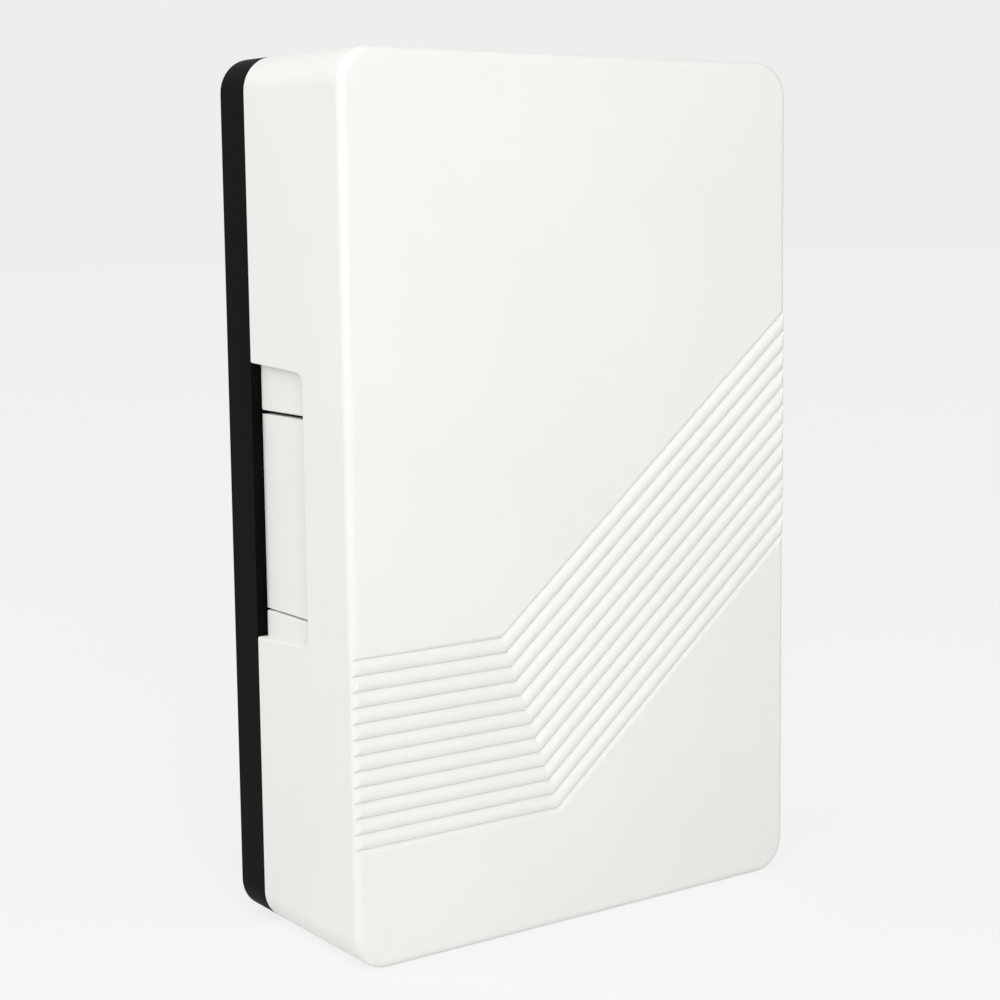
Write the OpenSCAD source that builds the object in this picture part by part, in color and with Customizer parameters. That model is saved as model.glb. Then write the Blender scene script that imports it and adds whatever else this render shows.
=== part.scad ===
// Wall chime box: a white cover with a ribbed band, latched on a black base.
// Inside, a coil pulls a striker against one tone bar and a spring sends it back to the other.
// Everything is modelled with X across, Y up the wall and Z out of the wall, then stood up at the end.

/* [Case] */
// Width across the wall
case_w = 77.4; // [73:0.2:95]
// Height up the wall
case_h = 125; // [118:0.5:150]
// Depth out of the wall
case_d = 33.8; // [32:0.1:40]
// Depth of the black base at its rim
base_d = 7.2; // [6.2:0.1:8.5]
// Corner radius seen from the front
corner_r = 5; // [4:0.1:8]
// Radius along the front edges
edge_r = 1.5; // [0.9:0.1:2]
// Side wall of the cover
wall = 1.4; // [1.2:0.1:1.8]
// Front wall of the cover
front_t = 2.2; // [1.8:0.1:3]
// Floor of the base
floor_t = 2; // [1.6:0.1:2.4]

/* [Ribbed band] */
// Spacing of the ribs
rib_pitch = 2.19; // [1.8:0.01:2.3]
// Number of ribs
rib_count = 12; // [6:1:14]
// Radius of each round rib
rib_r = 1.25; // [1.2:0.01:1.6]
// How far the ribs stand out of the face and the sides
rib_rise = 0.2; // [0:0.05:0.4]
// Depth of the sunken floor under the ribs
band_sink = 0.9; // [0.6:0.05:1.1]
// Height of the first groove, from the middle of the case
band_top = -18.8; // [-24:0.05:-12]
// Where the first groove bends upwards, from the middle of the case
bend_x = -14.3; // [-22:0.1:-6]
// Slope of the band after the bend
band_angle = 39.8; // [20:0.1:48]

/* [Side notch] */
// Height of the notch at the base
notch_h = 39.4; // [37:0.1:46]
// How far the notch runs towards the front
notch_d = 14.6; // [12:0.1:16]
// Slope of the notch's upper and lower edges
notch_draft = 2.8; // [0:0.1:4]
// Corner radius of the notch
notch_r = 2; // [1:0.1:4]

/* [Release latch] */
// Height of each latch
latch_h = 28; // [24:0.1:31]
// Middle of the latch, from the middle of the case
latch_mid = -1.55; // [-3:0.05:0]
// Thickness of the latch plate
latch_t = 1.5; // [1.3:0.1:1.8]
// Width of the hooked leg
leg_w = 10; // [8:0.5:14]
// Overlap of the hook behind the base
hook = 0.6; // [0.5:0.05:0.7]

/* [Tone bars] */
// Length of the low bar
bar_low_l = 92; // [80:0.5:94]
// Length of the high bar
bar_high_l = 84; // [76:0.5:92]
// Width of the bars
bar_w = 16; // [13:0.5:18]
// Thickness of the bars
bar_t = 2; // [1.6:0.1:2.4]

/* [Striker and coil] */
// Radius of the steel core
core_r = 3; // [2.6:0.05:3.4]
// Length of the steel core
core_l = 30; // [26:0.5:33]
// Way of the striker to the high bar
travel_ding = 4.5; // [3.5:0.1:5]
// Way of the striker to the low bar
travel_dong = 1.5; // [0.5:0.1:2]
// Length of the winding space between the yoke's cheeks
coil_l = 26; // [22:0.5:28]
// Depth of the winding on the bobbin
winding_t = 5.1; // [4:0.1:5.6]
// Length of the return spring at rest
spring_l = 11.2; // [10.6:0.1:12]
// Turns of the return spring
spring_turns = 7; // [5:0.5:7]
// Thickness of the yoke's steel strip
yoke_t = 1.2; // [1:0.1:1.4]

/* [Terminals and fixings] */
// Spacing of the two wall screws
wall_hole_gap = 96; // [90:0.5:100]
// Radius of the wall screw holes
wall_hole_r = 2.25; // [1.8:0.05:2.6]
// Radius of the cable hole
cable_r = 5; // [3.5:0.1:6]
// Width of the terminal block
term_w = 20; // [18:0.5:22]
// Depth of the terminal block
term_d = 9; // [8.5:0.1:10]
// Radius of the wire bores in the clamps
wire_bore_r = 1.5; // [1.2:0.05:1.7]

/* [Hidden] */
$fn = 64;

// Colours
white_abs = [0.95, 0.95, 0.93];
black_abs = [0.09, 0.09, 0.1];
steel = [0.72, 0.73, 0.74];
dark_steel = [0.55, 0.56, 0.58];
brass = [0.82, 0.66, 0.32];
copper = [0.72, 0.38, 0.2];
nylon = [0.93, 0.92, 0.86];
rubber = [0.16, 0.16, 0.16];
tape = [0.92, 0.78, 0.3];

// Clearances
slide_gap = 0.1;
run_gap = 0.05;
seat_gap = 0.2;
hook_gap = 0.25;
slit_top = 0.5;
slit_low = 0.3;
strike_gap = 0.1;
eps = 0.02;

// Overshoot of cuts that go right through
cut = 1;

half_w = case_w / 2;
half_h = case_h / 2;
inner_front = case_d - front_t;
inner_r = corner_r - wall;

// Base rim and the spigot that the cover slips over
rim_t = 3;
spigot_in = wall + seat_gap;
spigot_h = 2.4;
spigot_top = base_d + spigot_h;
web_reach = 2;
spigot_room = 2;
side_free = notch_h / 2 + web_reach + spigot_room;

// Latch, given as insets from the side of the case
latch_in = wall + slide_gap;
barrel_r = 1.4;
trunnion_r = 1;
trunnion_l = 1.7;
pivot_in = latch_in + barrel_r;
pivot_room = 2.4;
pivot_z = inner_front - barrel_r - pivot_room;
latch_y0 = latch_mid - latch_h / 2;
latch_y1 = latch_mid + latch_h / 2;
latch_z0 = base_d + hook_gap;
ear_t = 2;
ear_gap = 0.2;
ear_edge = 0.6;
ear_in = pivot_in + barrel_r + ear_edge;
ear_lead = 1;
ear_z0 = pivot_z - barrel_r - ear_lead;
web_t = 1.2;

// Hooked leg of the latch and its keeper in the base
keeper_wall = 1.9;
leg_in = keeper_wall + seat_gap;
leg_t = 1.3;
leg_root = 4;
hook_room = 1.2;
hook_z0 = floor_t + hook_room;
hook_h = 1.2;
keeper_gap = 0.3;
keeper_z1 = hook_z0 + hook_h + keeper_gap;
keeper_d = hook + seat_gap;
leg_room = 1;

// Latch spring and the rib that backs it
lspring_r = 1.7;
lspring_wire = 0.2;
lspring_turns = 4;
lspring_drop = 1;
lspring_z = (latch_z0 + pivot_z) / 2 - lspring_drop;
rib_t = 1.5;
rib_w = 8;
lspring_l = 4.4;
rib_in = latch_in + latch_t + lspring_l;
rib_lead = 1;
rib_z0 = lspring_z - lspring_r - rib_lead;
peg_r = 1.2;
peg_l = 1.2;

// Coil frame, from the base upwards
boss_h = 1.6;
yoke_z0 = floor_t + boss_h;
bore_r = core_r + slide_gap;
tube_t = 1.1;
tube_r = bore_r + tube_t;
winding_r = tube_r + winding_t;
tape_t = 0.3;
flange_edge = 1.1;
flange_r = winding_r + flange_edge;
flange_t = 1.5;
coil_gap = 0.3;
coil_z = yoke_z0 + yoke_t + flange_r + coil_gap;
coil_y = 10;
yoke_w = 18;
lug_w = 8;
lug_room = 3.2;
lug_y = flange_r + lug_room;
lug_end = 3.4;

// Tone bars stand on edge on both sides of the striker
bar_side_gap = 9.3;
bar_out = half_w - wall - bar_side_gap;
bar_in = bar_out - bar_t;
node_share = 0.224;
node_low = bar_low_l * (0.5 - node_share);
node_high = bar_high_l * (0.5 - node_share);
pin_r = 1.5;
grommet_neck = 3;
grommet_flange_r = 4.4;
grommet_flange_t = 1.1;
pin_head_r = 3;
pin_head_t = 1;
post_t = 4.2;
post_w = 7;
post_out = bar_in - grommet_flange_t - slide_gap;
post_in = post_out - post_t;
post_above = 2;
post_top = coil_z + pin_r + post_above;
pin_depth = 3.4;

// Striker: steel core with a nylon cap on the left and a nylon pin on the right
cap_l = 2.4;
cap_step = 0.7;
cap_r = core_r - cap_step;
cap_nose = 0.8;
spigot_r = 1.2;
spigot_l = 2;
cap_x = -(bar_in - strike_gap - travel_dong);
core_x0 = cap_x + cap_l;
core_x1 = core_x0 + core_l;
tip_x = bar_in - strike_gap - travel_ding;
strike_r = 1.6;
clip_in = 0.8;
clip_x0 = core_x0 + clip_in;
clip_t = 0.8;
clip_edge = 1.6;
clip_r = core_r + clip_edge;
clip_groove = 0.5;
clip_grip = 0.8;
spring_x0 = clip_x0 + clip_t;
spring_wire = 0.25;
spring_room = 0.55;
spring_r = core_r + spring_room + spring_wire;
yoke_x0 = spring_x0 + spring_l;
coil_x0 = yoke_x0 + yoke_t;
coil_x1 = coil_x0 + coil_l;
yoke_x1 = coil_x1 + yoke_t;
yoke_mid = (yoke_x0 + yoke_x1) / 2;
yoke_under = 1;
yoke_top = coil_z + flange_r - yoke_under;

// Screws
screw_r = 1.4;
screw_head_r = 2.7;
screw_head_t = 1.7;
boss_r = 3.4;
slot_w = 0.7;
slot_l = 3.2;
slot_t = 0.8;
screw_floor = 0.8;
screw_tip = screw_floor + seat_gap;

// Terminal block on its pad
term_shift = 4;
term_x = yoke_mid + term_shift;
term_h = 12;
term_y0 = -40;
term_y1 = term_y0 + term_h;
term_y = (term_y0 + term_y1) / 2;
pad_h = 1;
term_z0 = floor_t + pad_h;
term_z1 = term_z0 + term_d;
clamp_gap = term_w / 2;
clamp_w = 5;
clamp_d = 5;
clamp_floor = 1;
clamp_z0 = term_z0 + clamp_floor;
clamp_end = 2;
wire_z = clamp_z0 + clamp_d / 2;
tscrew_r = 1;
tscrew_head_r = 1.9;
tscrew_head_t = 1.3;
tscrew_in = 0.7;
tscrew_sink = 0.5;

// Cable hole and wall holes
cable_room = 11;
cable_x = term_x - term_w / 2 - cable_r - cable_room;
cable_y = -36;
wall_boss_t = 2.4;
wall_boss_r = wall_hole_r + wall_boss_t;
wall_boss_h = 1;

// Coil leads, from under the tape to the terminal clamps
lead_r = 0.6;
lead_sides = 8;
lead_steps = 5;
lead_drop = 3.6;
lead_sink = 0.5;
lead_room = 3.5;
lead_out = 6;
lead_dip = 1;
lead_z = coil_z - lead_drop;
lead_y = coil_y - sqrt(pow(winding_r + tape_t, 2) - pow(lead_drop, 2)) + lead_sink;
lead_ax = yoke_mid - lug_w / 2 - lead_room;
lead_bx = yoke_mid + lug_w / 2 + lead_room;
lead_bow_a = -2;
lead_bow_b = 1;
clamp_ax = term_x - clamp_gap / 2;
clamp_bx = term_x + clamp_gap / 2;
function lead_route(x0, x1, bow) = [
    [x0, lead_y, lead_z],
    [x0 + bow / 2, lead_y - lead_out, lead_z - lead_dip],
    [(x0 + x1) / 2 + bow, (lead_y + term_y1) / 2, (lead_z + wire_z) / 2],
    [x1 + bow / 2, term_y1 + lead_out, wire_z + lead_dip / 2],
    [x1, term_y1 + lead_out / 2, wire_z],
    [x1, term_y1, wire_z]
];

// Sunken band: its edges slope down from the face and end under the outer ribs
band_h = rib_pitch * rib_count;
band_lip = 0.3;
band_lap = 0.1;
band_above = 2;
band_reach = case_w + case_h;

// Section of the ribs: depth under the face, at a distance u from a rib's crest line
function rib_depth(u) = rib_r - rib_rise - sqrt(rib_r * rib_r - u * u);
rib_steps = 8;
rib_line = [
    for (i = [0 : rib_count - 1])
        for (k = [0 : rib_steps])
            if (i == 0 || k > 0)
                [(i + k / rib_steps) * rib_pitch, rib_depth((k / rib_steps - 0.5) * rib_pitch)]
];
rib_root = 0.1;
rib_deep = rib_depth(0) + rib_r + rib_root;

// Points of a closed tube: rings of points, each ring round one point of the path
function tube_faces(rings, sides) = concat(
    [for (i = [0 : rings - 2]) for (k = [0 : sides - 1])
        [i * sides + k, i * sides + (k + 1) % sides, (i + 1) * sides + k]],
    [for (i = [0 : rings - 2]) for (k = [0 : sides - 1])
        [i * sides + (k + 1) % sides, (i + 1) * sides + (k + 1) % sides, (i + 1) * sides + k]],
    [for (k = [1 : sides - 2]) [0, k + 1, k]],
    [for (k = [1 : sides - 2])
        [(rings - 1) * sides, (rings - 1) * sides + k, (rings - 1) * sides + k + 1]]
);

// A helix along X: its path, its rings and its least gap to itself
helix_rings = 8;
helix_sides = 6;
function helix_path(length, radius, wire, turns) = [
    for (i = [0 : round(turns * helix_rings)])
        let (t = i / round(turns * helix_rings), a = 360 * turns * t)
        [wire + (length - 2 * wire) * t, radius * cos(a), radius * sin(a)]
];
function helix_points(length, radius, wire, turns) = [
    for (p = helix_path(length, radius, wire, turns))
        for (k = [0 : helix_sides - 1])
            let (b = 360 * k / helix_sides, e = [p[1], p[2]] / radius)
            [p[0] + wire * sin(b), p[1] + wire * cos(b) * e[0], p[2] + wire * cos(b) * e[1]]
];
function helix_gap(path, wire) = min([
    for (i = [0 : len(path) - 1])
        for (k = [i + helix_rings / 2 : 1 : len(path) - 1])
            norm(path[i] - path[k]) - 2 * wire
]);

// A smooth curve through route points, and the tube round it
function route_at(p, i, t) = let (
    a = p[max(i - 1, 0)],
    b = p[i],
    c = p[i + 1],
    d = p[min(i + 2, len(p) - 1)]
) 0.5 * (2 * b + (c - a) * t + (2 * a - 5 * b + 4 * c - d) * t * t + (3 * b - a - 3 * c + d) * t * t * t);
function route_path(p) = concat(
    [for (i = [0 : len(p) - 2]) for (k = [0 : lead_steps - 1]) route_at(p, i, k / lead_steps)],
    [p[len(p) - 1]]
);
function route_ahead(c, i) = i == 0 || i == len(c) - 1
    ? [0, -1, 0]
    : (c[i + 1] - c[i - 1]) / norm(c[i + 1] - c[i - 1]);
function route_points(c, r) = [
    for (i = [0 : len(c) - 1])
        let (
            f = route_ahead(c, i),
            s = cross(f, [0, 0, 1]) / norm(cross(f, [0, 0, 1])),
            u = cross(s, f)
        )
        for (k = [0 : lead_sides - 1])
            let (b = 360 * k / lead_sides)
            c[i] + r * cos(b) * s + r * sin(b) * u
];

return_path = helix_path(spring_l, spring_r, spring_wire, spring_turns);
latch_path = helix_path(lspring_l, lspring_r, lspring_wire, lspring_turns);
echo(return_spring_gap = helix_gap(return_path, spring_wire));
echo(latch_spring_gap = helix_gap(latch_path, lspring_wire));

// Stands the part up: the wall is at the back, the front looks along -Y
module stand() {
    rotate([90, 0, 0])
        children();
}

module round_rect(w, h, r) {
    square([w - 2 * r, h], center = true);
    square([w, h - 2 * r], center = true);
    for (x = [-1, 1], y = [-1, 1])
        translate([x * (w / 2 - r), y * (h / 2 - r)])
            circle(r);
}

module round_plate(w, h, r, z0, z1) {
    translate([0, 0, z0])
        linear_extrude(z1 - z0)
            round_rect(w, h, r);
}

// Half section of a corner whose front edge is rounded
module corner_section(r, d, e) {
    square([r, d - e]);
    square([r - e, d]);
    translate([r - e, d - e])
        circle(e);
}

// Full section of a slab whose two front edges are rounded
module slab_section(w, d, e) {
    translate([-w / 2, 0])
        square([w, d - e]);
    translate([-w / 2 + e, 0])
        square([w - 2 * e, d]);
    for (x = [-1, 1])
        translate([x * (w / 2 - e), d - e])
            circle(e);
}

// Block with round corners and a rounded front edge
module edged_block(w, h, r, e, z0, z1) {
    d = z1 - z0;
    for (x = [-1, 1], y = [-1, 1])
        translate([x * (w / 2 - r), y * (h / 2 - r), z0])
            rotate_extrude()
                corner_section(r, d, e);
    translate([0, h / 2 - r, z0])
        rotate([90, 0, 0])
            linear_extrude(h - 2 * r)
                slab_section(w, d, e);
    translate([r - w / 2, 0, z0])
        rotate([90, 0, 90])
            linear_extrude(w - 2 * r)
                slab_section(h, d, e);
}

// Box between two corners
module box(a, b) {
    translate(a)
        cube(b - a);
}

// Cylinder along X or along Y
module rod_x(x0, x1, y, z, r) {
    translate([x0, y, z])
        rotate([0, 90, 0])
            cylinder(h = x1 - x0, r = r);
}

module rod_y(x, y0, y1, z, r) {
    translate([x, y1, z])
        rotate([90, 0, 0])
            cylinder(h = y1 - y0, r = r);
}

module rod_z(x, y, z0, z1, r) {
    translate([x, y, z0])
        cylinder(h = z1 - z0, r = r);
}

// Runs once for the left side and once, mirrored, for the right side
module both_sides() {
    children();
    mirror([1, 0, 0])
        children();
}

// Band section drawn over the face: first coordinate down the band, second into the face
module band_prism(x0, x1) {
    translate([x0, 0, 0])
        rotate([0, 90, 0])
            rotate([0, 0, -90])
                linear_extrude(x1 - x0)
                    children();
}

module band_section() {
    deep = band_sink + edge_r;
    polygon([
        [-band_lip, -band_above],
        [-band_lip, 0],
        [band_lap, band_sink],
        [band_lap, deep],
        [band_h - band_lap, deep],
        [band_h - band_lap, band_sink],
        [band_h + band_lip, 0],
        [band_h + band_lip, -band_above]
    ]);
}

module rib_section() {
    polygon(concat(rib_line, [[band_h, rib_deep], [0, rib_deep]]));
}

// Left or right side of the line on which the band bends
module bend_side(side) {
    lean = tan(band_angle / 2);
    far = side * band_reach;
    translate([bend_x, band_top, 0])
        linear_extrude(case_d + band_above + cut)
            polygon([
                [-lean * band_reach - side * eps, band_reach],
                [lean * band_reach - side * eps, -band_reach],
                [lean * band_reach + far, -band_reach],
                [-lean * band_reach + far, band_reach]
            ]);
}

// Sweeps a band section along the level stretch and the rising stretch
module along_band() {
    intersection() {
        translate([bend_x, band_top, case_d])
            band_prism(-band_reach, band_h)
                children();
        bend_side(-1);
    }
    intersection() {
        translate([bend_x, band_top, case_d])
            rotate([0, 0, band_angle])
                band_prism(-band_h, band_reach)
                    children();
        bend_side(1);
    }
}

// What is taken off the face under the ribs: the floor keeps the case's rounded front edge
module band_space() {
    difference() {
        along_band()
            band_section();
        edged_block(case_w + 2 * eps, case_h + 2 * eps, corner_r + eps, edge_r, base_d,
            case_d - band_sink);
    }
}

// Ribs, rounded over at the sides
module ribs() {
    intersection() {
        edged_block(case_w + 2 * rib_rise, case_h, corner_r, rib_r, base_d, case_d + rib_rise);
        along_band()
            rib_section();
    }
}

// Outline of the notch: up the wall, and out from the base's rim
module notch_outline() {
    low = notch_h / 2;
    slope = tan(notch_draft);
    high = low - notch_d * slope;
    turn = 90 - notch_draft;
    arc_y = high + notch_r * slope - notch_r / cos(notch_draft);
    steps = 8;
    right = [for (i = [0 : steps])
        let (a = notch_draft + turn * i / steps)
        [arc_y + notch_r * cos(a), notch_d - notch_r + notch_r * sin(a)]];
    left = [for (i = [steps : -1 : 0]) [-right[i][0], right[i][1]]];
    polygon(concat([[low + cut * slope, -cut]], right, left, [[-low - cut * slope, -cut]]));
}

module notch_space() {
    translate([-half_w - cut, 0, base_d])
        rotate([90, 0, 90])
            linear_extrude(wall + cut)
                notch_outline();
}

// Inside the cover: filler webs beside the latch, pivot ears and the rib behind the spring
module latch_housing() {
    web_x0 = -half_w + wall - eps;
    web_x1 = -half_w + wall + web_t;
    web_end = notch_h / 2 + web_reach;
    box([web_x0, latch_y1 + slit_top, latch_z0], [web_x1, web_end, ear_z0 + eps]);
    box([web_x0, -web_end, latch_z0], [web_x1, latch_y0 - slit_low, ear_z0 + eps]);
    for (y = [latch_y1 + ear_gap, latch_y0 - ear_gap - ear_t])
        difference() {
            box([web_x0, y, ear_z0], [-half_w + ear_in, y + ear_t, inner_front + eps]);
            rod_y(-half_w + pivot_in, y - cut, y + ear_t + cut, pivot_z, trunnion_r + run_gap);
        }
    box([-half_w + rib_in, latch_mid - rib_w / 2, rib_z0],
        [-half_w + rib_in + rib_t, latch_mid + rib_w / 2, inner_front + eps]);
    rod_x(-half_w + rib_in - peg_l, -half_w + rib_in + eps, latch_mid, lspring_z, peg_r);
}

module cover() {
    color(white_abs)
    stand() {
        difference() {
            union() {
                difference() {
                    edged_block(case_w, case_h, corner_r, edge_r, base_d, case_d);
                    band_space();
                }
                ribs();
            }
            round_plate(case_w - 2 * wall, case_h - 2 * wall, inner_r, base_d - cut, inner_front);
            both_sides()
                notch_space();
        }
        both_sides()
            latch_housing();
    }
}

// Pocket in the rim for the latch leg, with the keeper groove for its hook
module keeper_space() {
    leg_y0 = latch_mid - leg_w / 2 - leg_room;
    leg_y1 = latch_mid + leg_w / 2 + leg_room;
    box([-half_w + keeper_wall, leg_y0, floor_t], [-half_w + rim_t + cut, leg_y1, base_d + cut]);
    box([-half_w + keeper_wall - keeper_d, leg_y0, hook_z0 - seat_gap],
        [-half_w + rim_t, leg_y1, keeper_z1]);
}

module bar_post(x0, x1, y) {
    box([x0, y - post_w / 2, floor_t - eps], [x1, y + post_w / 2, post_top]);
}

module base() {
    color(black_abs)
    stand()
        difference() {
            union() {
                difference() {
                    union() {
                        round_plate(case_w, case_h, corner_r, 0, base_d);
                        round_plate(case_w - 2 * spigot_in, case_h - 2 * spigot_in,
                            corner_r - spigot_in, base_d - eps, spigot_top);
                    }
                    round_plate(case_w - 2 * rim_t, case_h - 2 * rim_t, corner_r - rim_t,
                        floor_t, spigot_top + cut);
                    for (x = [-half_w, half_w])
                        translate([x, 0, base_d + spigot_h])
                            cube([4 * rim_t, 2 * side_free, 2 * spigot_h], center = true);
                    both_sides()
                        keeper_space();
                }
                for (y = [-1, 1]) {
                    bar_post(-post_out, -post_in, coil_y + y * node_low);
                    bar_post(post_in, post_out, coil_y + y * node_high);
                    rod_z(yoke_mid, coil_y + y * lug_y, floor_t - eps, yoke_z0, boss_r);
                    rod_z(0, y * wall_hole_gap / 2, floor_t - eps, floor_t + wall_boss_h, wall_boss_r);
                }
                box([term_x - term_w / 2, term_y0, floor_t - eps],
                    [term_x + term_w / 2, term_y1, term_z0]);
            }
            for (y = [-1, 1]) {
                rod_x(-post_out - cut, -post_out + pin_depth + seat_gap, coil_y + y * node_low,
                    coil_z, pin_r + run_gap);
                rod_x(post_out - pin_depth - seat_gap, post_out + cut, coil_y + y * node_high,
                    coil_z, pin_r + run_gap);
                rod_z(yoke_mid, coil_y + y * lug_y, screw_floor, yoke_z0 + cut, screw_r + run_gap);
                rod_z(0, y * wall_hole_gap / 2, -cut, floor_t + wall_boss_h + cut, wall_hole_r);
            }
            rod_z(term_x, term_y, screw_floor, term_z0 + cut, screw_r + run_gap);
            rod_z(cable_x, cable_y, -cut, floor_t + cut, cable_r);
        }
}

// Latch: plate, pivot barrel with trunnions, hooked leg and a peg for the spring
module release_latch() {
    x0 = -half_w + latch_in;
    x1 = x0 + latch_t;
    leg_x = -half_w + leg_in;
    box([x0, latch_y0, latch_z0], [x1, latch_y1, pivot_z]);
    rod_y(-half_w + pivot_in, latch_y0, latch_y1, pivot_z, barrel_r);
    rod_y(-half_w + pivot_in, latch_y0 - ear_gap - trunnion_l, latch_y1 + ear_gap + trunnion_l,
        pivot_z, trunnion_r);
    box([leg_x, latch_mid - leg_w / 2, hook_z0], [leg_x + leg_t, latch_mid + leg_w / 2, latch_z0 + leg_root]);
    translate([leg_x, latch_mid + leg_w / 2, 0])
        rotate([90, 0, 0])
            linear_extrude(leg_w)
                polygon([
                    [eps, hook_z0],
                    [eps, hook_z0 + hook_h],
                    [-hook - seat_gap, hook_z0 + hook_h],
                    [-hook - seat_gap, hook_z0 + hook_h / 2]
                ]);
    rod_x(x1 - eps, x1 + peg_l, latch_mid, lspring_z, peg_r);
}

module release_latch_left() {
    color(white_abs)
    stand()
        release_latch();
}

module release_latch_right() {
    color(white_abs)
    stand()
        mirror([1, 0, 0])
            release_latch();
}

module helix(length, radius, wire, turns) {
    points = helix_points(length, radius, wire, turns);
    polyhedron(points, tube_faces(len(points) / helix_sides, helix_sides));
}

module latch_spring() {
    translate([-half_w + latch_in + latch_t, latch_mid, lspring_z])
        helix(lspring_l, lspring_r, lspring_wire, lspring_turns);
}

module latch_spring_left() {
    color(steel)
    stand()
        latch_spring();
}

module latch_spring_right() {
    color(steel)
    stand()
        mirror([1, 0, 0])
            latch_spring();
}

// Steel core with a groove for the clip and sockets for the two nylon pieces
module plunger() {
    color(steel)
    stand()
        difference() {
            rod_x(core_x0, core_x1, coil_y, coil_z, core_r);
            difference() {
                rod_x(clip_x0, clip_x0 + clip_t, coil_y, coil_z, core_r + cut);
                rod_x(clip_x0 - cut, clip_x0 + clip_t + cut, coil_y, coil_z, core_r - clip_groove);
            }
            rod_x(core_x0 - cut, core_x0 + spigot_l + seat_gap, coil_y, coil_z, spigot_r);
            rod_x(core_x1 - spigot_l - seat_gap, core_x1 + cut, coil_y, coil_z, spigot_r);
        }
}

module striker_pin() {
    color(nylon)
    stand() {
        rod_x(core_x1 - spigot_l, core_x1 + eps, coil_y, coil_z, spigot_r);
        rod_x(core_x1, tip_x - strike_r, coil_y, coil_z, strike_r);
        translate([tip_x - strike_r, coil_y, coil_z])
            sphere(strike_r);
    }
}

module striker_cap() {
    color(nylon)
    stand() {
        rod_x(core_x0 - eps, core_x0 + spigot_l, coil_y, coil_z, spigot_r);
        rod_x(cap_x + cap_nose, core_x0, coil_y, coil_z, cap_r);
        rod_x(cap_x, core_x0 - eps, coil_y, coil_z, cap_r - cap_nose);
    }
}

// Clip with a mouth, pushed on from the front
module spring_clip() {
    mouth = 2 * (core_r - clip_groove) * clip_grip;
    color(dark_steel)
    stand()
        difference() {
            rod_x(clip_x0, clip_x0 + clip_t, coil_y, coil_z, clip_r);
            rod_x(clip_x0 - cut, clip_x0 + clip_t + cut, coil_y, coil_z, core_r - clip_groove);
            box([clip_x0 - cut, coil_y - mouth / 2, coil_z],
                [clip_x0 + clip_t + cut, coil_y + mouth / 2, coil_z + clip_r + cut]);
        }
}

module return_spring() {
    color(steel)
    stand()
        translate([spring_x0, coil_y, coil_z])
            helix(spring_l, spring_r, spring_wire, spring_turns);
}

// Former of the coil: a tube through the yoke's cheeks and two flanges
module bobbin() {
    color(nylon)
    stand()
        difference() {
            union() {
                rod_x(yoke_x0, yoke_x1, coil_y, coil_z, tube_r);
                rod_x(coil_x0, coil_x0 + flange_t, coil_y, coil_z, flange_r);
                rod_x(coil_x1 - flange_t, coil_x1, coil_y, coil_z, flange_r);
            }
            rod_x(yoke_x0 - cut, yoke_x1 + cut, coil_y, coil_z, bore_r);
        }
}

module coil_ring(r0, r1) {
    difference() {
        rod_x(coil_x0 + flange_t, coil_x1 - flange_t, coil_y, coil_z, r1);
        rod_x(coil_x0, coil_x1, coil_y, coil_z, r0);
    }
}

module winding() {
    color(copper)
    stand()
        coil_ring(tube_r, winding_r);
}

module coil_tape() {
    color(tape)
    stand()
        coil_ring(winding_r, winding_r + tape_t);
}

// Bent strip: a foot with two lugs and a cheek at each end of the coil
module yoke() {
    color(steel)
    stand()
        difference() {
            union() {
                box([yoke_x0, coil_y - yoke_w / 2, yoke_z0],
                    [yoke_x1, coil_y + yoke_w / 2, yoke_z0 + yoke_t]);
                box([yoke_x0, coil_y - yoke_w / 2, yoke_z0],
                    [coil_x0, coil_y + yoke_w / 2, yoke_top]);
                box([coil_x1, coil_y - yoke_w / 2, yoke_z0],
                    [yoke_x1, coil_y + yoke_w / 2, yoke_top]);
                box([yoke_mid - lug_w / 2, coil_y - lug_y - lug_end, yoke_z0],
                    [yoke_mid + lug_w / 2, coil_y + lug_y + lug_end, yoke_z0 + yoke_t]);
            }
            rod_x(yoke_x0 - cut, yoke_x1 + cut, coil_y, coil_z, tube_r + run_gap);
            for (y = [-1, 1])
                rod_z(yoke_mid, coil_y + y * lug_y, yoke_z0 - cut, yoke_z0 + yoke_t + cut,
                    screw_r + seat_gap);
        }
}

// Pan-head screw with a cross slot, its head seated at z
module pan_screw(x, y, z) {
    difference() {
        union() {
            rod_z(x, y, screw_tip, z + eps, screw_r);
            rod_z(x, y, z, z + screw_head_t, screw_head_r);
        }
        translate([x, y, z + screw_head_t]) {
            cube([slot_l, slot_w, 2 * slot_t], center = true);
            cube([slot_w, slot_l, 2 * slot_t], center = true);
        }
    }
}

module yoke_screws() {
    color(steel)
    stand()
        for (y = [-1, 1])
            pan_screw(yoke_mid, coil_y + y * lug_y, yoke_z0 + yoke_t);
}

module tone_bar(x, length, node_y) {
    difference() {
        box([x, coil_y - length / 2, coil_z - bar_w / 2],
            [x + bar_t, coil_y + length / 2, coil_z + bar_w / 2]);
        for (y = [-1, 1])
            rod_x(x - cut, x + bar_t + cut, coil_y + y * node_y, coil_z, grommet_neck);
    }
}

module tone_bar_low() {
    color(steel)
    stand()
        tone_bar(-bar_out, bar_low_l, node_low);
}

module tone_bar_high() {
    color(steel)
    stand()
        tone_bar(bar_in, bar_high_l, node_high);
}

// Grommet on the right-hand bar: neck in the bar's hole, a flange on each face
module grommet(y) {
    difference() {
        union() {
            rod_x(bar_in - grommet_flange_t, bar_out + grommet_flange_t, y, coil_z, grommet_neck);
            rod_x(bar_in - grommet_flange_t, bar_in, y, coil_z, grommet_flange_r);
            rod_x(bar_out, bar_out + grommet_flange_t, y, coil_z, grommet_flange_r);
        }
        rod_x(bar_in - grommet_flange_t - cut, bar_out + grommet_flange_t + cut, y, coil_z, pin_r + run_gap);
    }
}

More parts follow.
